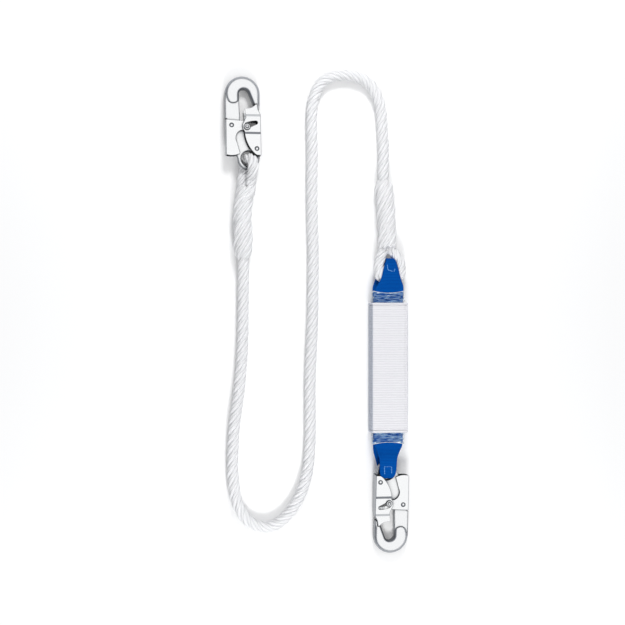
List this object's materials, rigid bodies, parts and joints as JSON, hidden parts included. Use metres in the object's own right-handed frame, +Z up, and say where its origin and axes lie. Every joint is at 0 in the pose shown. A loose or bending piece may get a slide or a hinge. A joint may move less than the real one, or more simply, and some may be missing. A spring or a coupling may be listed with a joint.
{
  "type": "shock absorbing lanyard",
  "caption": "Fall arrest lanyard: laid rope with spliced eyes, a tear webbing shock absorber in a sleeve, and a double action snap hook at each end.",
  "frame": {"origin": "on the surface the lanyard lies on, midway between its two hooks", "axes": "+Z up from the surface, +Y from the harness hook towards the anchor hook, +X from the anchor hook towards the absorber"},
  "size_m": [0.2443, 0.6349, 0.0354],
  "materials": {
    "forged_steel": "bright zinc over forged steel, satin sheen",
    "sheet_steel": "bright zinc over folded sheet steel",
    "rivet_steel": "bright zinc, turned and headed",
    "spring_steel": "drawn spring wire",
    "white_rope": "three strand laid polyamide rope, white",
    "white_webbing": "woven ribbed polyester, white",
    "clear_film": "clear shrunk PVC film",
    "blue_webbing": "woven polyester webbing, royal blue",
    "tear_webbing": "woven tear webbing, royal blue"
  },
  "bodies": {
    "lanyard": {"rope": "white_rope", "anchor_splice": "white_rope", "link_splice": "white_rope", "anchor_eye": "white_rope", "link_eye": "white_rope", "cover": "white_webbing", "film": "clear_film", "link_loop": "blue_webbing", "harness_loop": "blue_webbing", "upper_tear_webbing": "tear_webbing", "lower_tear_webbing": "tear_webbing", "backup_strap": "tear_webbing"},
    "anchor_hook": {"anchor_hook_body": "forged_steel", "anchor_gate_rivet": "rivet_steel", "anchor_lever_rivet": "rivet_steel", "anchor_gate_spring": "spring_steel", "anchor_lever_spring": "spring_steel"},
    "anchor_gate": {"anchor_gate": "sheet_steel"},
    "anchor_lever": {"anchor_lever": "sheet_steel", "anchor_lock_pin": "rivet_steel"},
    "harness_hook": {"harness_hook_body": "forged_steel", "harness_gate_rivet": "rivet_steel", "harness_lever_rivet": "rivet_steel", "harness_gate_spring": "spring_steel", "harness_lever_spring": "spring_steel"},
    "harness_gate": {"harness_gate": "sheet_steel"},
    "harness_lever": {"harness_lever": "sheet_steel", "harness_lock_pin": "rivet_steel"}
  },
  "joints": [
    {"name": "anchor_hook_swing", "type": "hinge", "parent": "lanyard", "child": "anchor_hook", "pos_m": [-0.0913, 0.19151, 0.01797], "axis": [1, 0, 0], "range_deg": [0, 20]},
    {"name": "anchor_gate_swing", "type": "hinge", "parent": "anchor_hook", "child": "anchor_gate", "pos_m": [-0.0815, 0.21539, 0.0155], "axis": [0, 0.1027, 0.9947], "range_deg": [0, 20], "stiffness_Nm_per_rad": 0.2, "springref_deg": -28.65, "deforming": ["anchor_gate_spring"]},
    {"name": "anchor_lever_press", "type": "hinge", "parent": "anchor_hook", "child": "anchor_lever", "pos_m": [-0.1135, 0.24622, 0.01232], "axis": [0, 0.1027, 0.9947], "range_deg": [0, 10], "stiffness_Nm_per_rad": 0.2, "springref_deg": -22.92, "deforming": ["anchor_lever_spring"]},
    {"name": "harness_hook_swing", "type": "hinge", "parent": "lanyard", "child": "harness_hook", "pos_m": [0.0913, -0.19151, 0.01797], "axis": [-1, 0, 0], "range_deg": [0, 20]},
    {"name": "harness_gate_swing", "type": "hinge", "parent": "harness_hook", "child": "harness_gate", "pos_m": [0.0815, -0.21539, 0.0155], "axis": [0, -0.1027, 0.9947], "range_deg": [0, 20], "stiffness_Nm_per_rad": 0.2, "springref_deg": -28.65, "deforming": ["harness_gate_spring"]},
    {"name": "harness_lever_press", "type": "hinge", "parent": "harness_hook", "child": "harness_lever", "pos_m": [0.1135, -0.24622, 0.01232], "axis": [0, -0.1027, 0.9947], "range_deg": [0, 10], "stiffness_Nm_per_rad": 0.2, "springref_deg": -22.92, "deforming": ["harness_lever_spring"]}
  ],
  "couplings": [
    {"joint": "anchor_lever_press", "follows": "anchor_gate_swing", "ratio": 0.5},
    {"joint": "harness_lever_press", "follows": "harness_gate_swing", "ratio": 0.5}
  ]
}
